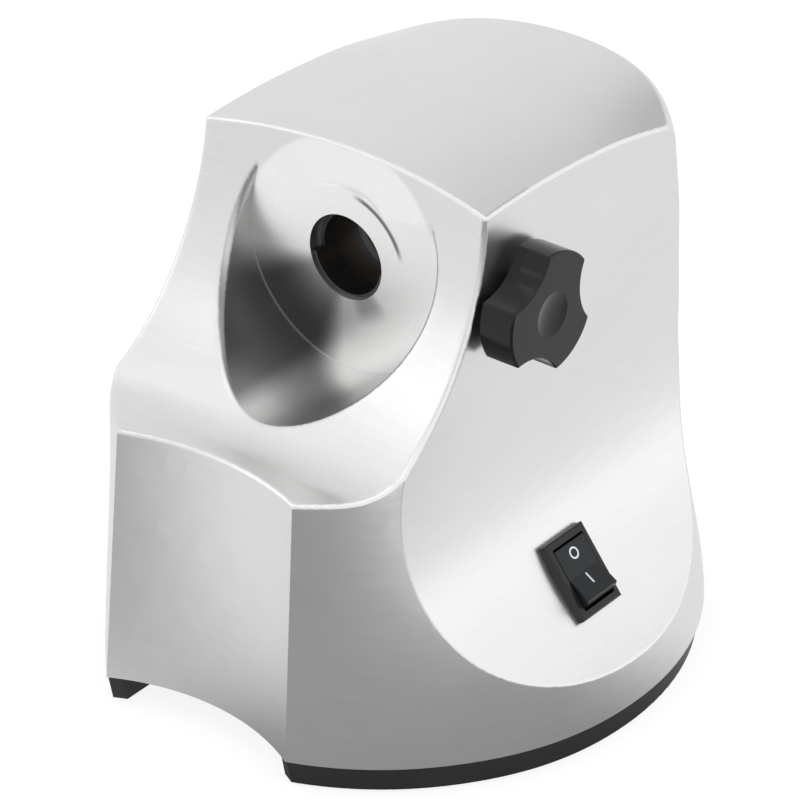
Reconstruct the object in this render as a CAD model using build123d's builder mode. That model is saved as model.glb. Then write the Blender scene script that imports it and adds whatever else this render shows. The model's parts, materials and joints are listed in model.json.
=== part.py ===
from build123d import *
from math import acos, asin, atan2, cos, degrees, hypot, pi, radians, sin, sqrt, tan
import os

# Motor base of an electric meat grinder: a formed metal housing on a black tray, with the outlet that
# drives a grinding head, the knob that clamps the head in, a rocker switch, and the motor and gear
# train inside.  Millimetres, +Z up, the outlet faces -Y, the origin is on the floor under the middle.

# --- housing ---------------------------------------------------------------------------------------
WALL = 2.6
DRUM_Y = -4.5               # axis of the round back
RIM_Z = 12.0                # bottom edge of the metal
LEDGE_Z = 113.0             # where the upright front turns into the flare
DOME_R = 370.0              # crown of the top
DOME_Y = 2.0
DOME_Z = 205.5
LOFT_TOP_Z = 212.0

# One row per height: z, back radius, front corner, middle of the hollow front, right shoulder and the
# radius of the wall that runs to it, left shoulder (x as a positive number) and its radius.
LEVELS = (
    (RIM_Z, 118.9, (43.0, -115.1), -104.6, (90.9, -80.8), 118.7, (88.0, -64.0), 500.0),
    (34.0, 116.6, (42.5, -112.7), -102.8, (89.8, -79.8), 116.4, (85.8, -64.7), 450.0),
    (62.0, 111.8, (41.9, -109.6), -100.5, (86.0, -76.7), 112.4, (82.5, -65.5), 400.0),
    (LEDGE_Z, 109.2, (40.8, -104.0), -96.5, (72.0, -66.1), 77.0, (72.0, -66.1), 77.0),
    (LOFT_TOP_Z, 108.8, (38.6, -93.0), -87.0, (68.0, -57.0), 77.0, (68.0, -57.0), 77.0),
)

# The flanks: one cross-section in x and z, upright above the waist and flaring out below it.
FLANK_TOP_X = 63.6
FLANK_WAIST = (66.2, 127.6)
FLANK_MID = (94.0, 51.0)
FLANK_FOOT = (125.0, 24.1)

# The scooped front above the ledge: an arc in y and z, swept about a far upright axis.
SCOOP_R = 520.0
FLARE_R = 105.0
FLARE_Y = -126.3            # centre of the flare's arc
FLARE_Z = 207.7
TOE_Z = 117.7               # where the flare's arc starts to round into the ledge
SWEEP = 14.0                # half of the sweep, degrees

BACK_RIM_R = 8.0
EDGE_R = 1.8
POCKET_EDGE_R = 3.0

# --- outlet ----------------------------------------------------------------------------------------
OUTLET_Z = 162.1
OUTLET_Y = -24.6            # face of the boss round the bore, and floor of the pocket
POCKET_R = 45.3
BOSS_R = 27.7
BOSS_DEPTH = 4.0
BORE_R = 16.65
SLEEVE_R = 15.0             # bore that takes the neck of a grinding head
SLEEVE_RECESS = 1.2         # the sleeve's mouth lies this far inside the boss
SLEEVE_STEP = 5.0           # how far the upper half of the mouth is cut back
SHOULDER_DROP = 2.8         # the cut ends this far below the bore's axis
SLEEVE_END_Y = 0.0
FIT = 0.05                  # radial gap of a running fit
GAP = 0.3                   # gap between parts that don't touch

# --- clamp knob on the right flank -----------------------------------------------------------------
KNOB_Y = -11.7
KNOB_Z = 161.6
KNOB_R = 23.3
KNOB_LENGTH = 13.8
KNOB_X = 69.2               # rear face of the knob
KNOB_WAIST_R = 16.3         # radius to the bottom of a flute
FLUTE_R = 21.0
FLUTE_ANGLE = 5.0           # from +Y to the first flute, degrees
KNOB_DISH_R = 8.5
SCREW_R = 5.0
PAD_R = 4.4
PAD_LENGTH = 3.5
PAD_STEM = 4.0
PAD_STEM_R = 2.4
BUSH_X = 18.8
BUSH_LENGTH = 10.0
SCREW_GRIP = 8.0            # how deep the screw sits in the knob
KNOB_SIDE_R = 1.2
KNOB_EDGE_R = 0.8
DISH_DEPTH = 1.2
COLLAR_R = 9.0
COLLAR_NECK_R = 7.0
COLLAR_FACE_X = 67.2
BUSH_R = 8.0

# --- switch on the right flank ---------------------------------------------------------------------
SWITCH_Y = -7.4
SWITCH_Z = 55.1
SWITCH_TALL = 30.6          # down the slope
SWITCH_WIDE = 22.6
BEZEL_T = 4.0
ROCKER_TALL = 24.4
ROCKER_WIDE = 16.8
ROCKER_TILT = 11.0          # the rocker stands this far to each side, degrees
SWITCH_DEPTH = 20.0
BODY_TALL = 27.0            # the switch's body behind its bezel
BODY_WIDE = 19.8
GLAND_Z = 32.0              # cord gland in the back
GLAND_R = 6.5
GLAND_FACE_Y = 114.2
WELL_DEPTH = 11.0           # the hollow that the rocker turns in
AXLE_R = 1.5
AXLE_REACH = 0.9
PIVOT_DEPTH = 4.0           # the rocker's pivot lies this far under the bezel's face
ROCKER_TOP = 4.1            # from the pivot to the pressed half's flat
ROCKER_BASE = -4.5

# --- tray ------------------------------------------------------------------------------------------
TRAY_STEP = 0.7             # the tray's edge lies inside the metal by this much
TRAY_LEAN = 2.6             # and by this much at its bottom
SKIRT_Z = 1.0
SKIRT_T = 4.8
PLATE_T = 3.0
PLATE_GAP = 0.5
NOTCH_HALF = 38.5           # half width of the open front of the skirt
NOTCH_Y = -84.0
PLATE_TOP = RIM_Z + PLATE_T
LUGS = ((-92.0, -38.0), (100.0, -38.0), (-83.0, 64.0), (83.0, 64.0))
LUG_R = 10.5
LUG_TALL = 16.0
FOOT_R = 10.0
FOOT_Z = 3.0
STEM_R = 2.5
STEM_LENGTH = 5.0
SKIRT_WALL = 3.0            # sides of the skirt's open front
SKIRT_R = 1.2
RIB_Z = 5.0
RIB_T = 2.5
RIB_REACH = 70.0
RIB_ROWS = (-58.0, 12.0, 77.0)
CRADLE_ROWS = (-41.0, -19.0)
CRADLE_WIDE = 64.0
CRADLE_LONG = 8.0
MOUNT_T = 3.0
SLOT_Y = 38.0
SLOT_PITCH = 9.0
SLOT_COUNT = 9
SLOT_LONG = 32.0
SLOT_WIDE = 3.5
SCREW_HEAD_R = 4.0
SCREW_HEAD_T = 2.4
TERMINAL_Y = 84.0
FEET = ((-56.0, -70.0), (56.0, -70.0), (-66.0, 54.0), (66.0, 54.0))

# --- drive train -----------------------------------------------------------------------------------
DRIVE_DROP = 96.1           # the motor's axis lies this far below the outlet's
BACKLASH = 0.2
PRESSURE = radians(20)
STAGES = ((1.1, 10, 50), (1.25, 11, 44), (1.5, 11, 42))     # module, pinion teeth, wheel teeth
FACES = ((14.0, 22.0), (24.5, 33.5), (36.0, 49.0))          # each stage's start and end along y
MOTOR_Z = OUTLET_Z - DRIVE_DROP
FIRST_ANGLE = 115.0         # from the motor to the first cluster, degrees
COVER_Y = 8.0
COVER_T = 4.0
CASE_END_Y = 55.0
CASE_T = 2.2
CASE_GAP = 0.9              # from a wheel's tips to the inside of the case
SHAFT_R = 4.0
SHAFT_END_R = 2.5
PIN_R = 3.0
PIN_SEAT = 2.5              # how deep the pins sit in the cover
PIN_BOSS = 2.0
MOTOR_CORNER_R = 14.0
EAR_R = 5.5
EAR_OUT = 4.0
EAR_ANGLES = ((3, 35), (3, 145), (2, -8), (1, 190), (0, -50), (0, -112))
FLANGE_T = 4.0
CASE_EDGE_R = 1.5
HUB_R = 22.5
OUT_BUSH_R = 12.0
REAR_BOSS = 6.0
SIDE_PLAY = 0.4
WHEEL_TIP = 0.8             # tooth height over the pitch circle, in modules
PINION_TIP = 0.9
ROOT = 1.2                  # and below it
RIM_T = 4.0
WEB_HUB_R = 9.0
WEB_DEPTH = 3.0
SPINDLE_R = 8.0
SOCKET_DEPTH = 12.0
SOCKET_AF = 9.5

# --- motor -----------------------------------------------------------------------------------------
STATOR_WIDE = 84.0
STATOR_TALL = 76.0
STATOR_Y = (-48.0, -12.0)
BORE_GAP = 0.8
CORE_R = 21.0
COIL_REACH = 8.5            # the coils stand this far past the laminations
BRACKET_Y = -80.0
COMMUTATOR_R = 12.0
COMMUTATOR_Y = (-76.0, -60.0)
FAN_R = 33.0
FAN_Y = (-1.0, 5.5)
POST_AT = (36.0, 32.0)      # motor screws, from the motor's axis
POST_R = 5.0
STATOR_CORNER = 8.0
WINDOW_R = 32.0             # the coils' windows reach this far out
POLE_HALF = 48.5            # half of a pole, degrees
COIL_R = (23.5, 31.0)
COIL_HALF = 80.0
BRACKET_T = 4.0
BEARING_R = 9.0
SEAT_STEP = 2.0
HOLDER_X = (13.5, 32.0)
HOLDER_WIDE = 10.0
HOLDER_FOOT = 8.0
BRUSH_WIDE = 6.5
BRUSH_LONG = 14.0
ARMATURE_SLOTS = 12
SLOT_DEEP = 6.0
WINDING_REACH = 8.0
WINDING_R = 3.0
FAN_DISC_T = 1.5
FAN_BLADES = 9
SCREW_HOLE_R = 2.1

os.makedirs("parts", exist_ok=True)


def save(part, name):
    """Label a finished piece and write its file."""
    part.label = name
    export_step(part, f"parts/{name}.step")


def front(y):
    """The upright plane at y, seen from the front: local x is +X and local y is +Z."""
    return Plane.XZ.offset(-y)


def polar(radius, angle, centre=(0.0, 0.0)):
    """A point at a radius and an angle in degrees about a centre."""
    return (centre[0] + radius * cos(radians(angle)), centre[1] + radius * sin(radians(angle)))


# ===================================================================================================
# Housing: a loft of five plan outlines, cut by two flared flanks and the scooped front, under a dome
# ===================================================================================================
def wall_heading(corner, shoulder, radius):
    """Direction of the curved wall from a front corner, where it reaches the shoulder."""
    run_x = shoulder[0] - corner[0]
    run_y = shoulder[1] - corner[1]
    angle = atan2(run_y, run_x) + asin(hypot(run_x, run_y) / 2 / radius)
    return cos(angle), sin(angle)


def wall_outline(level, inset):
    """The closed plan outline at one height, moved inwards by inset."""
    _, drum_r, corner, hollow, right, right_r, left, left_r = level
    right_x, right_y = wall_heading(corner, right, right_r)
    left_x, left_y = wall_heading(corner, left, left_r)
    drum_r -= inset
    corner_x, corner_y = corner[0], corner[1] + 1.1 * inset
    right_at = (right[0] - 0.75 * inset, right[1] + 0.66 * inset)
    left_at = (0.75 * inset - left[0], left[1] + 0.66 * inset)
    with BuildLine() as line:
        ThreePointArc((-corner_x, corner_y), (0, hollow + inset), (corner_x, corner_y))
        RadiusArc((corner_x, corner_y), right_at, -right_r)
        Spline(right_at, (drum_r, DRUM_Y), tangents=[(right_x, right_y), (0, 1)])
        ThreePointArc((drum_r, DRUM_Y), (0, DRUM_Y + drum_r), (-drum_r, DRUM_Y))
        Spline((-drum_r, DRUM_Y), left_at, tangents=[(0, -1), (left_x, -left_y)])
        RadiusArc(left_at, (-corner_x, corner_y), -left_r)
    return line.line


def flank_cutter(inset, side):
    """Everything outside one flank."""
    waist = (FLANK_WAIST[0] - inset, FLANK_WAIST[1])
    with BuildPart() as cutter:
        with BuildSketch(front(140)):
            with BuildLine():
                upper = TangentArc(waist, (FLANK_TOP_X - inset, LOFT_TOP_Z), tangent=(0, 1))
                middle = (FLANK_MID[0] - 0.75 * inset, FLANK_MID[1] - 0.66 * inset)
                foot = (FLANK_FOOT[0] - 0.5 * inset, FLANK_FOOT[1] - 0.87 * inset)
                ThreePointArc(waist, middle, foot)
                Line(foot, (150, foot[1]))
                Line((150, foot[1]), (150, LOFT_TOP_Z))
                Line((150, LOFT_TOP_Z), upper @ 1)
            make_face()
            if side < 0:
                mirror(about=Plane.YZ, mode=Mode.REPLACE)
        extrude(amount=280)
    return cutter.part


def flare_cutter(inset):
    """Everything in front of the scooped flare and above the ledge."""
    top_y = FLARE_Y + FLARE_R
    axis_y = top_y - SCOOP_R
    toe_y = FLARE_Y + sqrt(FLARE_R**2 - (FLARE_Z - TOE_Z) ** 2)
    slope = acos((FLARE_Z - TOE_Z) / FLARE_R)
    foot_y = toe_y - (TOE_Z - LEDGE_Z) / tan(slope / 2)
    start = (top_y + inset - axis_y, FLARE_Z - inset)
    toe = (toe_y + inset - axis_y, TOE_Z - inset)
    foot = (foot_y + inset - axis_y, LEDGE_Z - inset)
    far_y = -160 - axis_y
    turn = radians(SWEEP)
    start_plane = Plane(
        origin=(0, axis_y, 0), x_dir=(sin(turn), cos(turn), 0), z_dir=(cos(turn), -sin(turn), 0)
    )
    with BuildPart() as cutter:
        with BuildSketch(start_plane):
            with BuildLine():
                upright = Line((start[0], 230), start)
                flare = TangentArc(start, toe, tangent=upright % 1)
                TangentArc(toe, foot, tangent=flare % 1)
                Line(foot, (far_y, foot[1]))
                Line((far_y, foot[1]), (far_y, 230))
                Line((far_y, 230), (start[0], 230))
            make_face()
        revolve(axis=Axis((0, axis_y, 0), (0, 0, 1)), revolution_arc=2 * SWEEP)
    return cutter.part


def body_form(inset):
    """The outer form of the housing, or its inside where inset is the wall."""
    with BuildPart() as form:
        for level in LEVELS:
            with BuildSketch(Plane.XY.offset(level[0])):
                add(wall_outline(level, inset))
                make_face()
        loft()
        add(flank_cutter(inset, 1), mode=Mode.SUBTRACT)
        add(flank_cutter(inset, -1), mode=Mode.SUBTRACT)
        add(flare_cutter(inset), mode=Mode.SUBTRACT)
        with Locations((0, DOME_Y, DOME_Z - DOME_R)):
            Sphere(DOME_R - inset, mode=Mode.INTERSECT)
    return form.part


def edges_near(shape, points):
    """The edge of a shape that lies nearest to each point."""
    return [min(shape.edges(), key=lambda edge: edge.distance_to(Vertex(*p))) for p in points]


def mirrored(points):
    """Each point and its mirror image across the middle plane."""
    return [(side * x, y, z) for x, y, z in points for side in (1, -1)]


# The cavity stops short of the pocket and of the boss behind the outlet, which keep their own walls.
with BuildPart() as cavity:
    add(body_form(WALL))
    with BuildSketch(front(OUTLET_Y + WALL)):
        with Locations((0, OUTLET_Z)):
            Circle(POCKET_R + WALL)
    extrude(amount=120, mode=Mode.SUBTRACT)
    with BuildSketch(front(OUTLET_Y + BOSS_DEPTH)):
        with Locations((0, OUTLET_Z)):
            Circle(BOSS_R)
    extrude(amount=20, mode=Mode.SUBTRACT)

with BuildPart() as lugs:
    with BuildSketch(Plane.XY.offset(PLATE_TOP)):
        with Locations(*LUGS):
            Circle(LUG_R)
    extrude(amount=LUG_TALL)
    add(body_form(WALL / 2), mode=Mode.INTERSECT)
    with BuildSketch(Plane.XY.offset(PLATE_TOP)):
        with Locations(*LUGS):
            Circle(SCREW_HOLE_R)
    extrude(amount=LUG_TALL - 4, mode=Mode.SUBTRACT)

ledge_points = [(0, -96.5, LEDGE_Z), (48.3, -98.7, 113), (-48.3, -98.7, 113)]
ledge_points += mirrored([(61.3, -84.9, 114.1)])
edge_points = mirrored([(66, 85, 160), (65.8, -37.3, 159.5)]) + [(0, -21.3, 204.8)] + ledge_points
pocket_points = mirrored([(41.3, -45, 143.4)]) + [(0, -73.8, 116.8)]


# The flank's lower curve in x and z, and the switch plane on it: local x is +Y, local y runs up the slope.
flank_curve = ThreePointArc(FLANK_WAIST, FLANK_MID, FLANK_FOOT)
flank_centre = flank_curve.arc_center
switch_x = flank_centre.X - sqrt(flank_curve.radius**2 - (SWITCH_Z - flank_centre.Y) ** 2)
switch_plane = Plane(
    origin=(switch_x, SWITCH_Y, SWITCH_Z),
    x_dir=(0, 1, 0),
    z_dir=(flank_centre.X - switch_x, 0, flank_centre.Y - SWITCH_Z),
)
pivot = Plane(
    origin=switch_plane.origin + switch_plane.z_dir * (BEZEL_T - PIVOT_DEPTH),
    x_dir=switch_plane.y_dir,
    z_dir=switch_plane.x_dir,
)


def across(x, y=KNOB_Y, z=KNOB_Z):
    """The plane of constant x through the clamp's axis, facing +X."""
    return Plane(origin=(x, y, z), x_dir=(0, 1, 0), z_dir=(1, 0, 0))


with BuildPart() as housing:
    add(body_form(0))
    fillet(edges_near(housing.part, [(0, 104, 191)]), radius=BACK_RIM_R)
    fillet(edges_near(housing.part, edge_points), radius=EDGE_R)
    with BuildSketch(front(OUTLET_Y)):
        with Locations((0, OUTLET_Z)):
            Circle(BOSS_R)
    extrude(amount=-BOSS_DEPTH)
    with BuildSketch(front(OUTLET_Y)):
        with Locations((0, OUTLET_Z)):
            Circle(POCKET_R)
    extrude(amount=120, mode=Mode.SUBTRACT)
    fillet(edges_near(housing.part, pocket_points), radius=POCKET_EDGE_R)
    add(cavity.part, mode=Mode.SUBTRACT)
    # lugs for the tray's screws, fused to the inside of the wall
    add(lugs.part)
    # the outlet's bore
    with BuildSketch(front(0)):
        with Locations((0, OUTLET_Z)):
            Circle(BORE_R)
    extrude(amount=60, mode=Mode.SUBTRACT)
    # the hole for the clamp's collar
    with BuildSketch(across(50)):
        Circle(COLLAR_NECK_R + FIT)
    extrude(amount=30, mode=Mode.SUBTRACT)
    # a flat seat for the switch and the cut-out for its body
    with BuildSketch(switch_plane):
        Rectangle(SWITCH_WIDE + 2 * FIT, SWITCH_TALL + 2 * FIT)
    extrude(amount=8, mode=Mode.SUBTRACT)
    with BuildSketch(switch_plane):
        Rectangle(BODY_WIDE + 2 * FIT, BODY_TALL + 2 * FIT)
    extrude(amount=-8, mode=Mode.SUBTRACT)
    # the hole for the cord's gland
    with BuildSketch(front(140)):
        with Locations((0, GLAND_Z)):
            Circle(GLAND_R + FIT)
    extrude(amount=40, mode=Mode.SUBTRACT)
save(housing.part, "housing")


# ===================================================================================================
# Tray: a skirt under the metal's edge, open at the front, and the floor plate that rests on it
# ===================================================================================================
def plan_sketch(inset, z):
    """The plan outline of the lowest level as a face at height z."""
    with BuildSketch(Plane.XY.offset(z)) as plan:
        add(wall_outline(LEVELS[0], inset))
        make_face()
    return plan.sketch


def notch(wall, top):
    """The open front of the skirt, narrower by a wall on each side, up to a height."""
    with BuildPart() as block:
        with BuildSketch(Plane.XY.offset(-5)):
            with Locations((0, NOTCH_Y + wall)):
                Rectangle(2 * (NOTCH_HALF + wall), 60, align=(Align.CENTER, Align.MAX))
        extrude(amount=5 + top)
    return block.part


with BuildPart() as underside:
    extrude(plan_sketch(TRAY_STEP + SKIRT_T, -5), amount=5 + RIM_Z)
    add(notch(SKIRT_WALL, RIM_Z), mode=Mode.SUBTRACT)

with BuildPart() as base_tray:
    add(plan_sketch(TRAY_LEAN, SKIRT_Z))
    add(plan_sketch(TRAY_STEP, RIM_Z))
    loft()
    bottom = base_tray.faces().sort_by(Axis.Z)[0]
    fillet(bottom.edges(), radius=SKIRT_R)
    add(underside.part, mode=Mode.SUBTRACT)
    add(notch(0, RIM_Z), mode=Mode.SUBTRACT)
save(base_tray.part, "base_tray")

with BuildPart() as floor_plate:
    extrude(plan_sketch(WALL + PLATE_GAP, RIM_Z), amount=PLATE_T)
    # foot bosses and stiffening ribs under the plate
    with BuildSketch(Plane.XY.offset(FOOT_Z)):
        with Locations(*FEET):
            Circle(FOOT_R + 1)
    extrude(amount=RIM_Z - FOOT_Z)
    with BuildSketch(Plane.XY.offset(RIB_Z)):
        with Locations(*[(0, y) for y in RIB_ROWS]):
            Rectangle(2 * RIB_REACH, RIB_T)
    extrude(amount=RIM_Z - RIB_Z)
    # cradle under the motor
    with BuildSketch(Plane.XY.offset(PLATE_TOP)):
        with Locations(*[(0, y) for y in CRADLE_ROWS]):
            Rectangle(CRADLE_WIDE, CRADLE_LONG)
    extrude(amount=MOTOR_Z - STATOR_TALL / 2 - MOUNT_T - PLATE_TOP)
    # holes for the feet's stems and the screws into the housing's lugs, and air slots
    with BuildSketch(Plane.XY.offset(-1)):
        with Locations(*FEET):
            Circle(STEM_R)
    extrude(amount=1 + FOOT_Z + STEM_LENGTH, mode=Mode.SUBTRACT)
    with BuildSketch(Plane.XY.offset(-1)):
        with Locations(*LUGS):
            Circle(SCREW_HOLE_R)
        with Locations((0, SLOT_Y)):
            with GridLocations(SLOT_PITCH, 1, SLOT_COUNT, 1):
                SlotOverall(SLOT_LONG, SLOT_WIDE, rotation=90)
    extrude(amount=1 + PLATE_TOP, mode=Mode.SUBTRACT)
save(floor_plate.part, "floor_plate")

with BuildPart() as feet:
    with BuildSketch():
        with Locations(*FEET):
            Circle(FOOT_R)
    extrude(amount=FOOT_Z)
    chamfer(feet.edges().filter_by(GeomType.CIRCLE).group_by(Axis.Z)[0], length=0.8)
    with BuildSketch(Plane.XY.offset(FOOT_Z)):
        with Locations(*FEET):
            Circle(STEM_R)
    extrude(amount=STEM_LENGTH)
save(feet.part, "feet")

with BuildPart() as base_screws:
    with BuildSketch(Plane.XY.offset(RIM_Z - SCREW_HEAD_T)):
        with Locations(*LUGS):
            Circle(SCREW_HEAD_R)
    extrude(amount=SCREW_HEAD_T)
    with BuildSketch(Plane.XY.offset(RIM_Z)):
        with Locations(*LUGS):
            Circle(SCREW_HOLE_R - FIT)
    extrude(amount=PLATE_T + LUG_TALL - 6)
save(base_screws.part, "base_screws")

with BuildPart() as motor_mounts:
    with BuildSketch(Plane.XY.offset(MOTOR_Z - STATOR_TALL / 2 - MOUNT_T)):
        with Locations(*[(0, y) for y in CRADLE_ROWS]):
            Rectangle(CRADLE_WIDE - 4, CRADLE_LONG)
    extrude(amount=MOUNT_T)
save(motor_mounts.part, "motor_mounts")

with BuildPart() as cord_gland:
    with BuildSketch(front(100)):
        with Locations((0, GLAND_Z)):
            Circle(GLAND_R + 2.5)
    extrude(amount=100 - GLAND_FACE_Y)
    add(body_form(0), mode=Mode.SUBTRACT)
    with BuildSketch(front(GLAND_FACE_Y)):
        with Locations((0, GLAND_Z)):
            Circle(GLAND_R)
    extrude(amount=8)
    with BuildSketch(front(GLAND_FACE_Y)):
        with Locations((0, GLAND_Z)):
            Circle(GLAND_R - 3)
    extrude(amount=40, mode=Mode.SUBTRACT)
save(cord_gland.part, "cord_gland")

with BuildPart() as terminal_block:
    with BuildSketch(Plane.XY.offset(PLATE_TOP)):
        with Locations((0, TERMINAL_Y)):
            Rectangle(26, 14)
    extrude(amount=12)
    with BuildSketch(Plane.XY.offset(PLATE_TOP + 12)):
        with Locations((0, TERMINAL_Y)):
            with GridLocations(8, 1, 3, 1):
                Circle(2)
    extrude(amount=-5, mode=Mode.SUBTRACT)
save(terminal_block.part, "terminal_block")

# ===================================================================================================
# Switch
# ===================================================================================================
with BuildPart() as switch_body:
    with BuildSketch(switch_plane):
        Rectangle(SWITCH_WIDE, SWITCH_TALL)
    extrude(amount=BEZEL_T)
    rim = switch_body.faces().sort_by(Axis(switch_plane.origin, switch_plane.z_dir))[-1]
    chamfer(rim.edges(), length=0.7)
    with BuildSketch(switch_plane):
        Rectangle(BODY_WIDE, BODY_TALL)
    extrude(amount=-SWITCH_DEPTH)
    with BuildSketch(switch_plane.offset(BEZEL_T)):
        Rectangle(ROCKER_WIDE + 2 * GAP, ROCKER_TALL + 2 * GAP)
    extrude(amount=-BEZEL_T - WELL_DEPTH, mode=Mode.SUBTRACT)
    with BuildSketch(pivot):
        Circle(AXLE_R + FIT)
    extrude(amount=ROCKER_WIDE / 2 + AXLE_REACH + GAP, both=True, mode=Mode.SUBTRACT)
save(switch_body.part, "switch_body")

# The rocker's side view: two flats that meet in the middle, with ends that turn about the pivot.
rocker_half = ROCKER_TALL / 2
rocker_rise = tan(radians(2 * ROCKER_TILT))
with BuildPart() as rocker:
    with BuildSketch(pivot):
        with BuildLine():
            Polyline(
                (-rocker_half - 2, ROCKER_BASE), (rocker_half, ROCKER_BASE), (rocker_half + 2, ROCKER_TOP),
                (0, ROCKER_TOP), (-rocker_half - 2, ROCKER_TOP + rocker_rise * (rocker_half + 2)), close=True,
            )
        make_face()
        Circle(rocker_half, mode=Mode.INTERSECT)
    extrude(amount=ROCKER_WIDE / 2, both=True)
    with BuildSketch(pivot):
        Circle(AXLE_R)
    extrude(amount=ROCKER_WIDE / 2 + AXLE_REACH, both=True)
save(rocker.part, "rocker")

with BuildPart() as switch_terminals:
    with BuildSketch(switch_plane.offset(-SWITCH_DEPTH)):
        with GridLocations(10, 8, 2, 2):
            Rectangle(6.3, 0.8)
    extrude(amount=-8)
save(switch_terminals.part, "switch_terminals")

# ===================================================================================================
# Outlet sleeve, gear cover and gear case
# ===================================================================================================
# The wheels' axes: the first cluster stands at a set angle over the motor, the second one lies where
# its distances to the first cluster and to the outlet are those of the two pairs of wheels.
MOTOR = (0.0, MOTOR_Z)
OUTPUT = (0.0, OUTLET_Z)
reach_1, reach_2, reach_3 = [module * (small + large) / 2 for module, small, large in STAGES]
FIRST = polar(reach_1, FIRST_ANGLE, MOTOR)
run = hypot(OUTPUT[0] - FIRST[0], OUTPUT[1] - FIRST[1])
course = degrees(atan2(OUTPUT[1] - FIRST[1], OUTPUT[0] - FIRST[0]))
turn_off = degrees(acos((reach_2**2 + run**2 - reach_3**2) / (2 * reach_2 * run)))
SECOND = polar(reach_2, course - turn_off, FIRST)


def tip_r(stage):
    """Tip radius of a stage's wheel."""
    module, _, teeth = STAGES[stage]
    return module * (teeth / 2 + WHEEL_TIP)


CASE_ROUNDS = (
    (MOTOR, MOTOR_CORNER_R),
    (FIRST, tip_r(0) + CASE_GAP + CASE_T),
    (SECOND, tip_r(1) + CASE_GAP + CASE_T),
    (OUTPUT, tip_r(2) + CASE_GAP + CASE_T),
)
EARS = [polar(CASE_ROUNDS[n][1] + EAR_OUT, angle, CASE_ROUNDS[n][0]) for n, angle in EAR_ANGLES]
POSTS = [(MOTOR[0] + x * POST_AT[0], MOTOR[1] + z * POST_AT[1]) for x in (-1, 1) for z in (-1, 1)]


def case_sketch(y, inset, ears=False):
    """The taut outline round the four axes, on the upright plane at y."""
    with BuildSketch(front(y)) as outline:
        for centre, radius in CASE_ROUNDS:
            with Locations(centre):
                Circle(radius - inset)
        make_hull()
        if ears:
            with Locations(*EARS):
                Circle(EAR_R)
    return outline.sketch


def disc(y, radius, places=((0, 0),), inner=0.0):
    """Discs or rings on the upright plane at y."""
    with BuildSketch(front(y)) as rings:
        with Locations(*places):
            Circle(radius)
            if inner:
                Circle(inner, mode=Mode.SUBTRACT)
    return rings.sketch


COVER_BACK_Y = COVER_Y + COVER_T
HUB_Y = OUTLET_Y + BOSS_DEPTH

with BuildPart() as outlet_sleeve:
    extrude(
        disc(OUTLET_Y + SLEEVE_RECESS, BORE_R - FIT, [OUTPUT]),
        amount=OUTLET_Y + SLEEVE_RECESS - SLEEVE_END_Y,
    )
    extrude(disc(OUTLET_Y, SLEEVE_R, [OUTPUT]), amount=-60, mode=Mode.SUBTRACT)
    # the upper half of the mouth is cut back, which leaves two shoulders for the head to lock behind
    with BuildSketch(front(OUTLET_Y)):
        with Locations((0, OUTLET_Z - SHOULDER_DROP)):
            Rectangle(3 * BORE_R, 2 * BORE_R, align=(Align.CENTER, Align.MIN))
    extrude(amount=-SLEEVE_RECESS - SLEEVE_STEP, mode=Mode.SUBTRACT)
    # the hole for the clamp's pad
    with BuildSketch(across(SLEEVE_R / 2)):
        Circle(PAD_R + GAP)
    extrude(amount=BORE_R, mode=Mode.SUBTRACT)
save(outlet_sleeve.part, "outlet_sleeve")

with BuildPart() as gear_cover:
    extrude(case_sketch(COVER_Y, 0, ears=True), amount=-COVER_T)
    with BuildSketch(front(COVER_Y)):
        with Locations(MOTOR):
            RectangleRounded(STATOR_WIDE, STATOR_TALL, STATOR_CORNER)
    extrude(amount=-COVER_T)
    # hub that reaches the front wall and holds the sleeve, posts for the motor, seat of its bearing
    extrude(disc(HUB_Y, HUB_R, [OUTPUT]), amount=HUB_Y - COVER_Y)
    extrude(disc(STATOR_Y[1], POST_R, POSTS), amount=STATOR_Y[1] - COVER_Y)
    extrude(disc(COVER_Y - SEAT_STEP, BEARING_R + 3, [MOTOR]), amount=-SEAT_STEP)
    extrude(disc(HUB_Y, BORE_R, [OUTPUT]), amount=HUB_Y - SLEEVE_END_Y, mode=Mode.SUBTRACT)
    extrude(disc(SLEEVE_END_Y, OUT_BUSH_R, [OUTPUT]), amount=-30, mode=Mode.SUBTRACT)
    extrude(disc(COVER_Y - SEAT_STEP, BEARING_R, [MOTOR]), amount=-30, mode=Mode.SUBTRACT)
    extrude(disc(COVER_BACK_Y - PIN_SEAT, PIN_R, [FIRST, SECOND]), amount=-30, mode=Mode.SUBTRACT)
    extrude(disc(STATOR_Y[1], SCREW_HOLE_R, POSTS), amount=STATOR_Y[1] - COVER_BACK_Y, mode=Mode.SUBTRACT)
    extrude(disc(COVER_Y, SCREW_HOLE_R, EARS), amount=-COVER_T, mode=Mode.SUBTRACT)
    # the way of the clamp's screw, and the seat of its threaded bush
    with BuildSketch(across(SLEEVE_R)):
        Circle(SCREW_R + GAP)
    extrude(amount=10, mode=Mode.SUBTRACT)
    with BuildSketch(across(BUSH_X)):
        Circle(BUSH_R)
    extrude(amount=30, mode=Mode.SUBTRACT)
save(gear_cover.part, "gear_cover")

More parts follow.
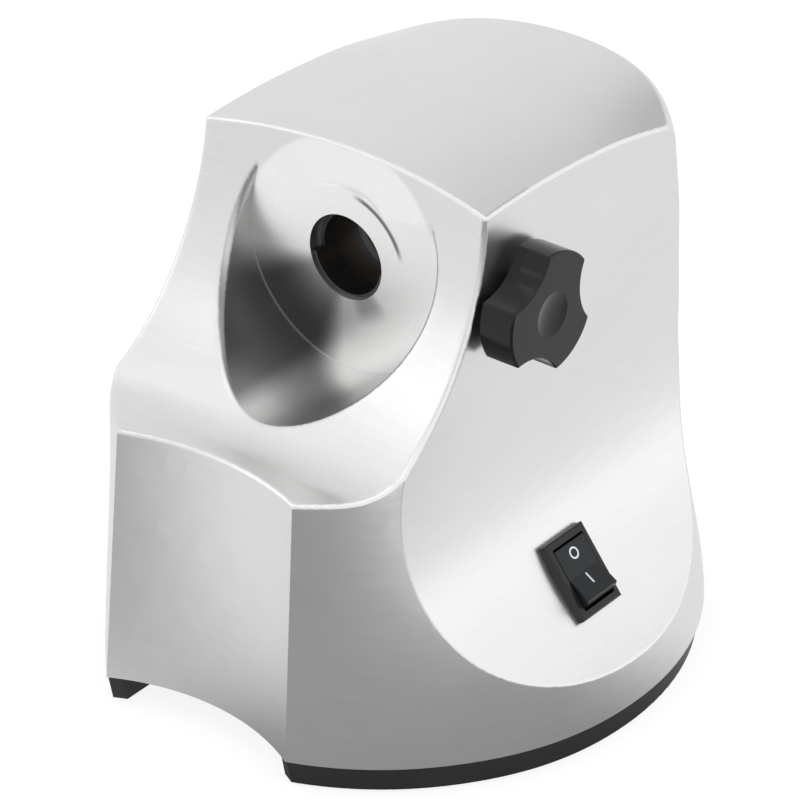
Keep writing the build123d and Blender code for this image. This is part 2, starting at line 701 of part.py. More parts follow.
with BuildPart() as gear_case:
    extrude(case_sketch(COVER_BACK_Y, 0, ears=True), amount=-FLANGE_T)
    extrude(case_sketch(COVER_BACK_Y, 0), amount=COVER_BACK_Y - CASE_END_Y)
    rear = gear_case.faces().sort_by(Axis.Y)[-1]
    fillet(rear.edges(), radius=CASE_EDGE_R)
    extrude(disc(CASE_END_Y, OUT_BUSH_R + 3, [OUTPUT]), amount=-REAR_BOSS)
    extrude(
        case_sketch(COVER_BACK_Y, CASE_T),
        amount=COVER_BACK_Y - CASE_END_Y + CASE_T, mode=Mode.SUBTRACT,
    )
    extrude(disc(CASE_END_Y - CASE_T - PIN_BOSS, PIN_R + 3, [FIRST, SECOND]), amount=-PIN_BOSS)
    extrude(
        disc(CASE_END_Y - CASE_T - PIN_BOSS, PIN_R, [FIRST, SECOND]),
        amount=-PIN_BOSS, mode=Mode.SUBTRACT,
    )
    extrude(
        disc(CASE_END_Y - CASE_T - 1, OUT_BUSH_R, [OUTPUT]),
        amount=-REAR_BOSS - CASE_T + 1, mode=Mode.SUBTRACT,
    )
    extrude(disc(COVER_BACK_Y, SCREW_HOLE_R, EARS), amount=-FLANGE_T, mode=Mode.SUBTRACT)
save(gear_case.part, "gear_case")

with BuildPart() as case_screws:
    extrude(disc(COVER_BACK_Y + FLANGE_T, SCREW_HEAD_R - 0.6, EARS), amount=-SCREW_HEAD_T)
    extrude(disc(COVER_Y, SCREW_HOLE_R - FIT, EARS), amount=-COVER_T - FLANGE_T)
save(case_screws.part, "case_screws")

with BuildPart() as gear_pins:
    extrude(
        disc(COVER_BACK_Y - PIN_SEAT, PIN_R, [FIRST, SECOND]),
        amount=COVER_BACK_Y - PIN_SEAT - (CASE_END_Y - CASE_T),
    )
save(gear_pins.part, "gear_pins")

REAR_BUSH_Y = CASE_END_Y - CASE_T
with BuildPart() as output_bushes:
    for start, end in ((SLEEVE_END_Y, COVER_BACK_Y), (REAR_BUSH_Y, CASE_END_Y + REAR_BOSS - CASE_T)):
        extrude(disc(start, OUT_BUSH_R, [OUTPUT], inner=SPINDLE_R + FIT), amount=start - end)
save(output_bushes.part, "output_bushes")

# ===================================================================================================
# Gear train: involute wheels, each in mesh with the next at rest
# ===================================================================================================
def involute(angle):
    return tan(angle) - angle


def wheel_sketch(y, centre, module, teeth, tip, phase):
    """A toothed outline whose first tooth points along phase, in degrees."""
    pitch_r = module * teeth / 2
    base_r = pitch_r * cos(PRESSURE)
    root_r = pitch_r - ROOT * module
    top_r = pitch_r + tip * module
    low_r = max(base_r, root_r + 0.02)
    at_base = pi / 2 / teeth - BACKLASH / 2 / pitch_r + involute(PRESSURE)

    def half_width(radius):
        """Half of the tooth's thickness at a radius, as an angle in degrees."""
        return degrees(at_base - involute(acos(min(1.0, base_r / radius))))

    flank = [(radius, half_width(radius)) for radius in (low_r, (low_r + top_r) / 2, top_r)]
    flank.insert(0, (root_r, half_width(low_r)))
    outline = []
    for tooth in range(teeth):
        angle = phase + 360 * tooth / teeth
        outline += [polar(radius, angle - half, centre) for radius, half in flank]
        outline += [polar(radius, angle + half, centre) for radius, half in reversed(flank)]
    with BuildSketch(front(y)) as profile:
        with BuildLine():
            Polyline(*outline, close=True)
        make_face()
    return profile.sketch


def wheel_and_pinion(stage, centre, back, before, y_end):
    """A wheel of one stage on the hub of the next stage's pinion, both turning on a pin."""
    module, _, teeth = STAGES[stage]
    start, end = FACES[stage]
    next_module, next_teeth, _ = STAGES[stage + 1]
    with BuildPart() as cluster:
        extrude(
            wheel_sketch(start, centre, module, teeth, WHEEL_TIP, back + 180 / teeth),
            amount=start - end,
        )
        extrude(wheel_sketch(end, centre, next_module, next_teeth, PINION_TIP, before), amount=end - y_end)
        extrude(disc(COVER_BACK_Y + SIDE_PLAY, PIN_R + 2, [centre]), amount=COVER_BACK_Y + SIDE_PLAY - end)
        web_r = module * (teeth / 2 - ROOT) - RIM_T
        extrude(disc(start, web_r, [centre], inner=WEB_HUB_R), amount=-WEB_DEPTH, mode=Mode.SUBTRACT)
        extrude(disc(COVER_Y, PIN_R + FIT, [centre]), amount=-60, mode=Mode.SUBTRACT)
    return cluster.part


def bearing_angle(start, end):
    """Direction from one axis to another, degrees."""
    return degrees(atan2(end[1] - start[1], end[0] - start[0]))


to_first = bearing_angle(MOTOR, FIRST)
to_second = bearing_angle(FIRST, SECOND)
to_output = bearing_angle(SECOND, OUTPUT)

with BuildPart() as motor_pinion:
    module, teeth, _ = STAGES[0]
    start, end = FACES[0]
    extrude(wheel_sketch(start, MOTOR, module, teeth, PINION_TIP, to_first), amount=start - end)
    extrude(disc(start, SHAFT_END_R, [MOTOR]), amount=start - end, mode=Mode.SUBTRACT)
save(motor_pinion.part, "motor_pinion")

gear_cluster_one = wheel_and_pinion(0, FIRST, to_first + 180, to_second, FACES[1][1])
save(gear_cluster_one, "gear_cluster_one")

gear_cluster_two = wheel_and_pinion(1, SECOND, to_second + 180, to_output, FACES[2][1])
save(gear_cluster_two, "gear_cluster_two")

with BuildPart() as output_gear:
    module, _, teeth = STAGES[2]
    start, end = FACES[2]
    extrude(
        wheel_sketch(start, OUTPUT, module, teeth, WHEEL_TIP, to_output + 180 + 180 / teeth),
        amount=start - end,
    )
    extrude(
        disc(start, module * (teeth / 2 - ROOT) - RIM_T, [OUTPUT], inner=SPINDLE_R + 5),
        amount=-WEB_DEPTH, mode=Mode.SUBTRACT,
    )
    extrude(
        disc(COVER_BACK_Y + SIDE_PLAY, SPINDLE_R + 3, [OUTPUT]),
        amount=COVER_BACK_Y + SIDE_PLAY - REAR_BUSH_Y + SIDE_PLAY,
    )
    extrude(disc(COVER_Y, SPINDLE_R, [OUTPUT]), amount=-60, mode=Mode.SUBTRACT)
save(output_gear.part, "output_gear")

SPINDLE_END_Y = CASE_END_Y + REAR_BOSS - CASE_T
with BuildPart() as output_spindle:
    extrude(
        disc(SLEEVE_END_Y + SIDE_PLAY, SPINDLE_R, [OUTPUT]),
        amount=SLEEVE_END_Y + SIDE_PLAY - SPINDLE_END_Y,
    )
    # the six-sided socket that takes the tail of the head's worm
    with BuildSketch(front(SLEEVE_END_Y)):
        with Locations(OUTPUT):
            RegularPolygon(SOCKET_AF / 2, 6, major_radius=False)
    extrude(amount=-SOCKET_DEPTH, mode=Mode.SUBTRACT)
save(output_spindle.part, "output_spindle")

# ===================================================================================================
# Motor
# ===================================================================================================
def sector(y, inner, outer, middle, half_angle):
    """A ring's sector on the upright plane at y, about the motor's axis."""
    with BuildSketch(front(y)) as piece:
        with BuildLine():
            ends = [polar(outer, middle - half_angle, MOTOR), polar(outer, middle + half_angle, MOTOR)]
            ends += [polar(inner, middle + half_angle, MOTOR), polar(inner, middle - half_angle, MOTOR)]
            ThreePointArc(ends[0], polar(outer, middle, MOTOR), ends[1])
            Line(ends[1], ends[2])
            ThreePointArc(ends[2], polar(inner, middle, MOTOR), ends[3])
            Line(ends[3], ends[0])
        make_face()
    return piece.sketch


STATOR_LONG = STATOR_Y[1] - STATOR_Y[0]
with BuildPart() as stator_core:
    with BuildSketch(front(STATOR_Y[0])):
        with Locations(MOTOR):
            RectangleRounded(STATOR_WIDE, STATOR_TALL, STATOR_CORNER)
            Circle(CORE_R + BORE_GAP, mode=Mode.SUBTRACT)
        with Locations(*POSTS):
            Circle(SCREW_HOLE_R, mode=Mode.SUBTRACT)
    extrude(amount=-STATOR_LONG)
    for middle in (90, 270):
        extrude(
            sector(STATOR_Y[0], CORE_R - 1, WINDOW_R, middle, 90 - POLE_HALF),
            amount=-STATOR_LONG, mode=Mode.SUBTRACT,
        )
save(stator_core.part, "stator_core")

with BuildPart() as field_coils:
    for middle in (0, 180):
        extrude(
            sector(STATOR_Y[0] - COIL_REACH, COIL_R[0], COIL_R[1], middle, COIL_HALF),
            amount=-STATOR_LONG - 2 * COIL_REACH,
        )
    for middle in (0, 180):
        extrude(
            sector(STATOR_Y[0] - GAP, COIL_R[0] - 1, COIL_R[1] + 1, middle, POLE_HALF + 1),
            amount=-STATOR_LONG - 2 * GAP, mode=Mode.SUBTRACT,
        )
save(field_coils.part, "field_coils")

with BuildPart() as front_bracket:
    for post in POSTS:
        with BuildSketch(front(BRACKET_Y - BRACKET_T)):
            with Locations(post):
                Circle(POST_R)
            with Locations(MOTOR):
                Circle(BEARING_R + 3)
            make_hull()
        extrude(amount=-BRACKET_T)
    with BuildSketch(front(BRACKET_Y - BRACKET_T)):
        with Locations(MOTOR):
            Rectangle(2 * HOLDER_X[1], HOLDER_WIDE)
    extrude(amount=-BRACKET_T)
    extrude(disc(BRACKET_Y, POST_R, POSTS), amount=BRACKET_Y - STATOR_Y[0])
    extrude(disc(BRACKET_Y - BRACKET_T - SEAT_STEP, BEARING_R + 3, [MOTOR]), amount=-SEAT_STEP)
    extrude(disc(BRACKET_Y - 20, BEARING_R, [MOTOR]), amount=-30, mode=Mode.SUBTRACT)
    extrude(
        disc(BRACKET_Y - 20, SCREW_HOLE_R, POSTS),
        amount=BRACKET_Y - 20 - STATOR_Y[0], mode=Mode.SUBTRACT,
    )
save(front_bracket.part, "front_bracket")

FRONT_SEAT_Y = BRACKET_Y - BRACKET_T - SEAT_STEP
with BuildPart() as motor_bearings:
    for start, end in ((FRONT_SEAT_Y, BRACKET_Y), (COVER_Y - SEAT_STEP, COVER_BACK_Y)):
        extrude(disc(start, BEARING_R, [MOTOR], inner=SHAFT_R + FIT), amount=start - end)
save(motor_bearings.part, "motor_bearings")

with BuildPart() as motor_screws:
    extrude(disc(BRACKET_Y - BRACKET_T - SCREW_HEAD_T, SCREW_HEAD_R, POSTS), amount=-SCREW_HEAD_T)
    extrude(
        disc(BRACKET_Y - BRACKET_T, SCREW_HOLE_R - FIT, POSTS),
        amount=BRACKET_Y - BRACKET_T - COVER_BACK_Y,
    )
save(motor_screws.part, "motor_screws")

BRUSH_Y = (COMMUTATOR_Y[0] + COMMUTATOR_Y[1]) / 2
brush_plane = Plane(origin=(0, BRUSH_Y, MOTOR_Z), x_dir=(0, 1, 0), z_dir=(1, 0, 0))
with BuildPart() as brush_holders:
    with BuildSketch(brush_plane.offset(HOLDER_X[0])):
        Rectangle(HOLDER_WIDE, HOLDER_WIDE)
    extrude(amount=HOLDER_X[1] - HOLDER_X[0])
    with BuildSketch(brush_plane.offset(HOLDER_X[1] - HOLDER_FOOT)):
        Rectangle(BRUSH_Y - BRACKET_Y, HOLDER_WIDE, align=(Align.MAX, Align.CENTER))
    extrude(amount=HOLDER_FOOT)
    with BuildSketch(brush_plane.offset(HOLDER_X[0])):
        Rectangle(BRUSH_WIDE, BRUSH_WIDE)
    extrude(amount=40, mode=Mode.SUBTRACT)
    mirror(about=Plane.YZ)
save(brush_holders.part, "brush_holders")

with BuildPart() as brushes:
    with BuildSketch(brush_plane.offset(COMMUTATOR_R + FIT)):
        Rectangle(BRUSH_WIDE - 0.02, BRUSH_WIDE - 0.02)
    extrude(amount=BRUSH_LONG)
    mirror(about=Plane.YZ)
save(brushes.part, "brushes")

with BuildPart() as brush_caps:
    with BuildSketch(brush_plane.offset(HOLDER_X[1])):
        Rectangle(HOLDER_WIDE, HOLDER_WIDE)
    extrude(amount=1.2)
    with BuildSketch(brush_plane.offset(HOLDER_X[1])):
        Circle(BRUSH_WIDE / 2 - 0.6)
    extrude(amount=COMMUTATOR_R + FIT + BRUSH_LONG - HOLDER_X[1])
    mirror(about=Plane.YZ)
save(brush_caps.part, "brush_caps")

with BuildPart() as armature_shaft:
    extrude(disc(FRONT_SEAT_Y - 1, SHAFT_R, [MOTOR]), amount=FRONT_SEAT_Y - 1 - COVER_BACK_Y - 1)
    extrude(disc(COVER_BACK_Y, SHAFT_END_R, [MOTOR]), amount=COVER_BACK_Y - FACES[0][1] - 0.5)
save(armature_shaft.part, "armature_shaft")

with BuildPart() as armature_core:
    extrude(disc(STATOR_Y[0], CORE_R, [MOTOR], inner=SHAFT_R), amount=-STATOR_LONG)
    with BuildSketch(front(STATOR_Y[0])):
        with Locations(MOTOR):
            with PolarLocations(CORE_R, ARMATURE_SLOTS):
                Rectangle(2 * SLOT_DEEP, 2.4)
    extrude(amount=-STATOR_LONG, mode=Mode.SUBTRACT)
save(armature_core.part, "armature_core")

with BuildPart() as armature_windings:
    for start in (STATOR_Y[0] - WINDING_REACH, STATOR_Y[1]):
        end = start + WINDING_REACH
        extrude(disc(start, CORE_R - SLOT_DEEP / 2, [MOTOR], inner=SHAFT_R), amount=start - end)
    outer_ends = [armature_windings.faces().sort_by(Axis.Y)[n] for n in (0, -1)]
    fillet([end.outer_wire().edges()[0] for end in outer_ends], radius=WINDING_R)
save(armature_windings.part, "armature_windings")

with BuildPart() as commutator:
    extrude(
        disc(COMMUTATOR_Y[0], COMMUTATOR_R, [MOTOR], inner=SHAFT_R),
        amount=COMMUTATOR_Y[0] - COMMUTATOR_Y[1],
    )
    with BuildSketch(front(COMMUTATOR_Y[0])):
        with Locations(MOTOR):
            with PolarLocations(COMMUTATOR_R, 2 * ARMATURE_SLOTS):
                Rectangle(1.2, 0.6)
    extrude(amount=COMMUTATOR_Y[0] - COMMUTATOR_Y[1], mode=Mode.SUBTRACT)
save(commutator.part, "commutator")

with BuildPart() as cooling_fan:
    extrude(disc(FAN_Y[1] - FAN_DISC_T, FAN_R, [MOTOR]), amount=-FAN_DISC_T)
    extrude(disc(FAN_Y[0], SHAFT_R + 4, [MOTOR]), amount=FAN_Y[0] - FAN_Y[1])
    with BuildSketch(front(FAN_Y[0])):
        with Locations(MOTOR):
            with PolarLocations((FAN_R + SHAFT_R + 3) / 2, FAN_BLADES):
                Rectangle(FAN_R - SHAFT_R - 3, 1.6)
    extrude(amount=FAN_Y[0] - FAN_Y[1])
    extrude(disc(FAN_Y[0], SHAFT_R, [MOTOR]), amount=-20, mode=Mode.SUBTRACT)
save(cooling_fan.part, "cooling_fan")

# ===================================================================================================
# Clamp: collar, threaded bush, screw with its pad, and the three-lobed knob
# ===================================================================================================
with BuildPart() as knob_collar:
    with BuildSketch(across(COLLAR_FACE_X)):
        Circle(COLLAR_R)
    extrude(amount=-6)
    add(body_form(0), mode=Mode.SUBTRACT)
    with BuildSketch(across(COLLAR_FACE_X)):
        Circle(COLLAR_NECK_R)
    extrude(amount=-6)
    with BuildSketch(across(COLLAR_FACE_X)):
        Circle(SCREW_R + GAP)
    extrude(amount=-20, mode=Mode.SUBTRACT)
save(knob_collar.part, "knob_collar")

with BuildPart() as screw_bush:
    with BuildSketch(across(BUSH_X)):
        Circle(BUSH_R)
        Circle(SCREW_R + FIT, mode=Mode.SUBTRACT)
    extrude(amount=BUSH_LENGTH)
save(screw_bush.part, "screw_bush")

PAD_BACK_X = SLEEVE_R + PAD_LENGTH
with BuildPart() as clamp_pad:
    with BuildSketch(across(SLEEVE_R)):
        Circle(PAD_R)
    extrude(amount=PAD_LENGTH)
    with BuildSketch(across(PAD_BACK_X)):
        Circle(PAD_STEM_R)
    extrude(amount=PAD_STEM)
save(clamp_pad.part, "clamp_pad")

with BuildPart() as knob_screw:
    with BuildSketch(across(PAD_BACK_X + SIDE_PLAY)):
        Circle(SCREW_R)
    extrude(amount=KNOB_X + SCREW_GRIP - PAD_BACK_X - SIDE_PLAY)
    with BuildSketch(across(PAD_BACK_X)):
        Circle(PAD_STEM_R + FIT)
    extrude(amount=PAD_STEM + 1, mode=Mode.SUBTRACT)
save(knob_screw.part, "knob_screw")

dish_r = (KNOB_DISH_R**2 + DISH_DEPTH**2) / (2 * DISH_DEPTH)
with BuildPart() as locking_knob:
    with BuildSketch(across(KNOB_X)):
        Circle(KNOB_R)
        with PolarLocations(KNOB_WAIST_R + FLUTE_R, 3, start_angle=FLUTE_ANGLE):
            Circle(FLUTE_R, mode=Mode.SUBTRACT)
    extrude(amount=KNOB_LENGTH)
    fillet(locking_knob.edges().filter_by(Axis.X), radius=KNOB_SIDE_R)
    face = locking_knob.faces().sort_by(Axis.X)[-1]
    fillet(face.edges(), radius=KNOB_EDGE_R)
    with Locations((KNOB_X + KNOB_LENGTH + dish_r - DISH_DEPTH, KNOB_Y, KNOB_Z)):
        Sphere(dish_r, mode=Mode.SUBTRACT)
    with BuildSketch(across(KNOB_X)):
        Circle(SCREW_R)
    extrude(amount=SCREW_GRIP, mode=Mode.SUBTRACT)
save(locking_knob.part, "locking_knob")
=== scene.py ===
import json
from math import cos, radians, sin

import bpy
from mathutils import Matrix, Vector


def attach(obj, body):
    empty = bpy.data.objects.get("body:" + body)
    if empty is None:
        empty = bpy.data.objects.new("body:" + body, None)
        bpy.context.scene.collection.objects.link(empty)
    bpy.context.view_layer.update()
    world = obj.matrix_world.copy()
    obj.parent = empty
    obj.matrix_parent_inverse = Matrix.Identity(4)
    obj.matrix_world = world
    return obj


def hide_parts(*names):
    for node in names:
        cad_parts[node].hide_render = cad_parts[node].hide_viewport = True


# Motor base of a meat grinder: satin steel housing, black tray, clamp knob, rocker switch and
# drive train. Metres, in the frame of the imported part: the outlet faces -Y, the knob and the
# switch are on the +X side.

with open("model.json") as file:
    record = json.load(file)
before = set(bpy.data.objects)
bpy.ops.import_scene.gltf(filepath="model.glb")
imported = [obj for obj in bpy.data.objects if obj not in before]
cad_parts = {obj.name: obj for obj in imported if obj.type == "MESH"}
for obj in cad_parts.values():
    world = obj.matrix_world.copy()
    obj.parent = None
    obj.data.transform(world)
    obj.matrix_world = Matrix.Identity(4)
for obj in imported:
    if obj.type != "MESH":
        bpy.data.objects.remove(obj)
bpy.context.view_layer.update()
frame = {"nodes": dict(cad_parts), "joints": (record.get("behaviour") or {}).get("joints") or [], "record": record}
bpy.ops.object.select_all(action="DESELECT")
nodes = frame["nodes"]
joints = {joint["name"]: joint for joint in frame["joints"]}

MM = 0.001
mounts = {mount["name"]: mount for mount in frame["record"]["mounts"]}
OUTLET = Vector(mounts["outlet"]["pos_m"])
OUTLET_X, OUTLET_Z = OUTLET.x, OUTLET.z
PIVOT = Vector(joints["rocker_press"]["pos_m"])
MOTOR = Vector(joints["armature_spin"]["pos_m"])


# ===================================================================================================
# Shader arithmetic
# ===================================================================================================
class Wire:
    """An output in a node tree. Sums, products and powers on it add their Math nodes."""

    def __init__(self, tree, socket=None):
        self.tree = tree
        self.socket = socket

    def node(self, kind, settings=(), sockets=(), out=0):
        """Adds a node with its settings first, then the values or links of its sockets."""
        made = self.tree.nodes.new(kind)
        for name, value in dict(settings).items():
            setattr(made, name, value)
        for name, value in dict(sockets).items():
            if isinstance(value, Wire):
                self.tree.links.new(value.socket, made.inputs[name])
            else:
                made.inputs[name].default_value = value
        if isinstance(out, tuple):
            return [Wire(self.tree, made.outputs[name]) for name in out]
        return Wire(self.tree, made.outputs[out]) if made.outputs else None

    def maths(self, operation, *values):
        return self.node("ShaderNodeMath", {"operation": operation}, dict(enumerate(values)))

    def __add__(self, other):
        return self.maths("ADD", self, other)

    __radd__ = __add__

    def __sub__(self, other):
        return self.maths("SUBTRACT", self, other)

    def __rsub__(self, other):
        return self.maths("SUBTRACT", other, self)

    def __mul__(self, other):
        return self.maths("MULTIPLY", self, other)

    __rmul__ = __mul__

    def __truediv__(self, other):
        return self.maths("DIVIDE", self, other)

    def __pow__(self, other):
        return self.maths("POWER", self, other)

    def step(self, low, high):
        """0 below low, 1 above high, smooth between them."""
        sockets = {"Value": self, "From Min": low, "From Max": high}
        return self.node("ShaderNodeMapRange", {"interpolation_type": "SMOOTHSTEP"}, sockets)

    def at_least(self, other):
        """The larger of two values."""
        return self.maths("MAXIMUM", self, other)

    def band(self, rise, fall):
        """1 between two edges, each a pair of values over which it rises or falls."""
        return self.step(*rise) * (1 - self.step(*fall))

    def split(self):
        """The three parts of a position or direction."""
        return self.node("ShaderNodeSeparateXYZ", (), {0: self}, ("X", "Y", "Z"))

    def stretched(self, along_x, along_y, along_z):
        """A position vector scaled by a different number along each axis."""
        sockets = {0: self, 1: (along_x, along_y, along_z)}
        return self.node("ShaderNodeVectorMath", {"operation": "MULTIPLY"}, sockets)

    def grain(self, scale=1.0, detail=2.0, rough=0.5):
        """Noise at this position, from 0 to 1."""
        sockets = {"Vector": self, "Scale": scale, "Detail": detail, "Roughness": rough}
        return self.node("ShaderNodeTexNoise", (), sockets, "Fac")

    def between(self, low, high):
        """This factor blends two colours, each a triple or a link."""
        ends = [end if isinstance(end, Wire) else (*end, 1.0) for end in (low, high)]
        sockets = {"Factor": self, "A": ends[0], "B": ends[1]}
        made = self.tree.nodes.new("ShaderNodeMix")
        made.data_type = "RGBA"
        for name, value in sockets.items():
            socket = [s for s in made.inputs if s.name == name and s.enabled][0]
            if isinstance(value, Wire):
                self.tree.links.new(value.socket, socket)
            else:
                socket.default_value = value
        return Wire(self.tree, [s for s in made.outputs if s.enabled][0])


def new_material(name):
    """A material with an empty node tree, and the wire that its nodes are added by."""
    made = bpy.data.materials.new(name)
    made.use_nodes = True
    made.node_tree.nodes.clear()
    return made, Wire(made.node_tree)


def surface(start, sockets):
    """Ends a material in a Principled BSDF with these sockets."""
    shader = start.node("ShaderNodeBsdfPrincipled", (), sockets)
    start.node("ShaderNodeOutputMaterial", (), {"Surface": shader})


def bumped(start, height, distance, strength=1.0):
    """The Normal of a surface whose height varies by up to distance metres."""
    sockets = {"Height": height, "Distance": distance, "Strength": strength}
    return start.node("ShaderNodeBump", (), sockets, "Normal")


def places(start):
    """Object position, its x, y and z, and the x, y and z of the surface's direction."""
    place, normal = start.node("ShaderNodeTexCoord", (), (), ("Object", "Normal"))
    return place, place.split(), normal.split()


# ===================================================================================================
# Finishes
# ===================================================================================================
LEVEL_BRUSH = (55, 55, 2600)    # brush lines per metre, along x, y and z, on the walls
CROSS_BRUSH = (40, 2600, 40)    # and across the top
RING_BRUSH = 2300               # turned rings per metre on the boss
RING_DRIFT = 1.3                # how much the rings vary on their way round
BOSS_FRONT = 40.0 * MM          # the boss's face lies nearer to the middle than this
BOSS_R = 46.2 * MM
POCKET_FRONT = 85.0 * MM
POCKET_R = 66.0 * MM
FAR_FAN = (-0.669, -0.743)      # headings from the outlet's axis, in x and z, of the two fans of painted reflection
NEAR_FAN = (0.500, -0.866)
LIP_MIDDLE = (0.67, 0.74)
LIP_RISE = (25.2 * MM, 26.0 * MM)       # radii over which the thin crescent of painted shade sets in
LIP_FALL = (26.6 * MM, 28.0 * MM)       # and ends
SHEET_LOW, SHEET_HIGH = (0.60, 0.60, 0.595), (0.83, 0.83, 0.825)
GROUND_LOW, GROUND_HIGH = (0.72, 0.72, 0.715), (0.98, 0.98, 0.975)
# colour of the painted shade and painted reflections on the housing
SHADE_COLOUR = (0.02, 0.02, 0.02)


def painted_shade(x, y, z, nx, radius, turned):
    """Dark patches painted by position: fans of painted reflection and a crescent of painted shade on the boss,
    and painted shade on the pocket's left wall.
    """

    def along(heading):
        return ((x - OUTLET_X) * heading[0] + (z - OUTLET_Z) * heading[1]) / radius

    # fans of painted reflection, as a turned face would show them, and a thin crescent of painted shade
    far_fan = along(FAR_FAN).step(0.76, 0.95)
    near_fan = along(NEAR_FAN).step(0.92, 1.0) * (1 - radius.step(20 * MM, 28 * MM))
    lip = radius.band(LIP_RISE, LIP_FALL) * along(LIP_MIDDLE).step(0.81, 0.94)
    fans = 0.88 * far_fan * radius.step(-16 * MM, 38 * MM)
    fans = fans.at_least(0.45 * near_fan).at_least(0.8 * lip)
    # painted shade on the pocket's left wall
    inside = (POCKET_R - radius).step(0.0, 6 * MM) * (y + POCKET_FRONT).step(0.0, 10 * MM)
    left_half = (OUTLET_X + 10 * MM - x).step(0.0, 30 * MM)
    wall = inside * left_half * nx.step(0.10, 0.40)
    return (turned * fans).at_least(wall * (0.28 + 0.42 * far_fan))


def satin_steel():
    """Brushed sheet steel: level lines on the walls, lines across the top, rings on the boss. Its colour also
    carries painted reflection and painted shade on the boss and painted shade on the pocket's left wall.
    """
    made, start = new_material("housing_satin_steel")
    place, (x, y, z), (nx, ny, nz) = places(start)
    radius = ((x - OUTLET_X) ** 2 + (z - OUTLET_Z) ** 2) ** 0.5
    on_top = nz.step(0.80, 0.93)
    facing = (0 - ny).step(0.93, 0.985)
    near = (y + BOSS_FRONT).step(0.0, 4 * MM) * (BOSS_R - radius).step(0.0, 2 * MM)
    turned = facing * near
    level_lines = place.stretched(*LEVEL_BRUSH).grain(detail=3.0, rough=0.65)
    cross_lines = place.stretched(*CROSS_BRUSH).grain(detail=3.0, rough=0.65)
    swept_angle = start.maths("ARCTAN2", z - OUTLET_Z, x - OUTLET_X)
    ring_place = {"X": radius * RING_BRUSH, "Y": swept_angle * RING_DRIFT}
    rings = start.node("ShaderNodeCombineXYZ", (), ring_place).grain(detail=3.0, rough=0.65)
    lines = level_lines + on_top * (cross_lines - level_lines)
    lines = lines + turned * (rings - lines)
    cloud = place.grain(scale=18, detail=2.0)
    tone = 0.25 + 0.5 * lines + 0.25 * cloud
    sheet = tone.between(SHEET_LOW, SHEET_HIGH)
    ground = tone.between(GROUND_LOW, GROUND_HIGH)
    # painted shade and painted reflection, mixed into the base colour below
    shade = painted_shade(x, y, z, nx, radius, turned)
    surface(start, {
        "Base Color": shade.between(turned.between(sheet, ground), SHADE_COLOUR),
        "Metallic": 1.0,
        "Roughness": 0.25 + 0.08 * lines + 0.05 * cloud,
        "Normal": bumped(start, lines, 0.02 * MM, 0.35),
    })
    return made


SPECULAR = 0.32                 # moulded plastic reflects less than the shader's default


def moulded(name, low, high, rough, grain_size, depth):
    """Moulded plastic or rubber: a fine even grain, slightly cloudy colour."""
    made, start = new_material(name)
    place, _, _ = places(start)
    fine = place.grain(scale=1 / grain_size, detail=2.0)
    cloud = place.grain(scale=45, detail=2.0)
    surface(start, {
        "Base Color": (0.4 * fine + 0.6 * cloud).between(low, high),
        "Roughness": rough + 0.10 * (cloud - 0.5) + 0.06 * (fine - 0.5),
        "Specular IOR Level": SPECULAR,
        "Normal": bumped(start, fine, depth, 0.5),
    })
    return made


TURNED_RINGS = 1900             # per metre


def machined(name, low, high, rough, axis, centre):
    """Turned or ground metal: rings round an axis, X, Y or Z, through a centre."""
    made, start = new_material(name)
    place, parts, _ = places(start)
    length = "XYZ".index(axis)
    offsets = [(parts[index] - centre[index]) ** 2 for index in range(3) if index != length]
    radius = (offsets[0] + offsets[1]) ** 0.5
    track = {"X": radius * TURNED_RINGS, "Y": parts[length] * TURNED_RINGS}
    lines = start.node("ShaderNodeCombineXYZ", (), track).grain(detail=2.0, rough=0.6)
    cloud = place.grain(scale=60, detail=2.0)
    surface(start, {
        "Base Color": (0.5 * lines + 0.5 * cloud).between(low, high),
        "Metallic": 1.0,
        "Roughness": rough + 0.12 * (lines - 0.5) + 0.08 * (cloud - 0.5),
        "Normal": bumped(start, lines, 0.015 * MM, 0.4),
    })
    return made


def cast(name, low, high, rough, grain_size, depth, metallic=1.0):
    """Die-cast, sintered or stamped metal: an even pebbled skin with stains in its colour."""
    made, start = new_material(name)
    place, _, _ = places(start)
    pebbles = place.grain(scale=1 / grain_size, detail=3.0, rough=0.6)
    stain = place.grain(scale=35, detail=3.0)
    surface(start, {
        "Base Color": (0.35 * pebbles + 0.65 * stain).between(low, high),
        "Metallic": metallic,
        "Roughness": rough + 0.14 * (stain - 0.5) + 0.08 * (pebbles - 0.5),
        "Normal": bumped(start, pebbles, depth, 0.6),
    })
    return made


SHEET_T = 0.65 * MM             # one motor sheet
WIRE_PITCH = 0.8 * MM           # one turn of the field coils


def laminated_steel():
    """Stamped motor sheets: thin dark lines across the motor's axis."""
    made, start = new_material("motor_sheets")
    place, (_, y, _), _ = places(start)
    sheet = start.maths("FRACT", y * (1 / SHEET_T))
    gap = start.maths("ABSOLUTE", sheet - 0.5).step(0.36, 0.48)
    stain = place.grain(scale=70, detail=2.0)
    surface(start, {
        "Base Color": (0.7 * gap + 0.3 * stain).between((0.36, 0.36, 0.37), (0.10, 0.10, 0.105)),
        "Metallic": 0.9,
        "Roughness": 0.42 + 0.25 * gap,
        "Normal": bumped(start, 1 - gap, 0.05 * MM, 0.6),
    })
    return made


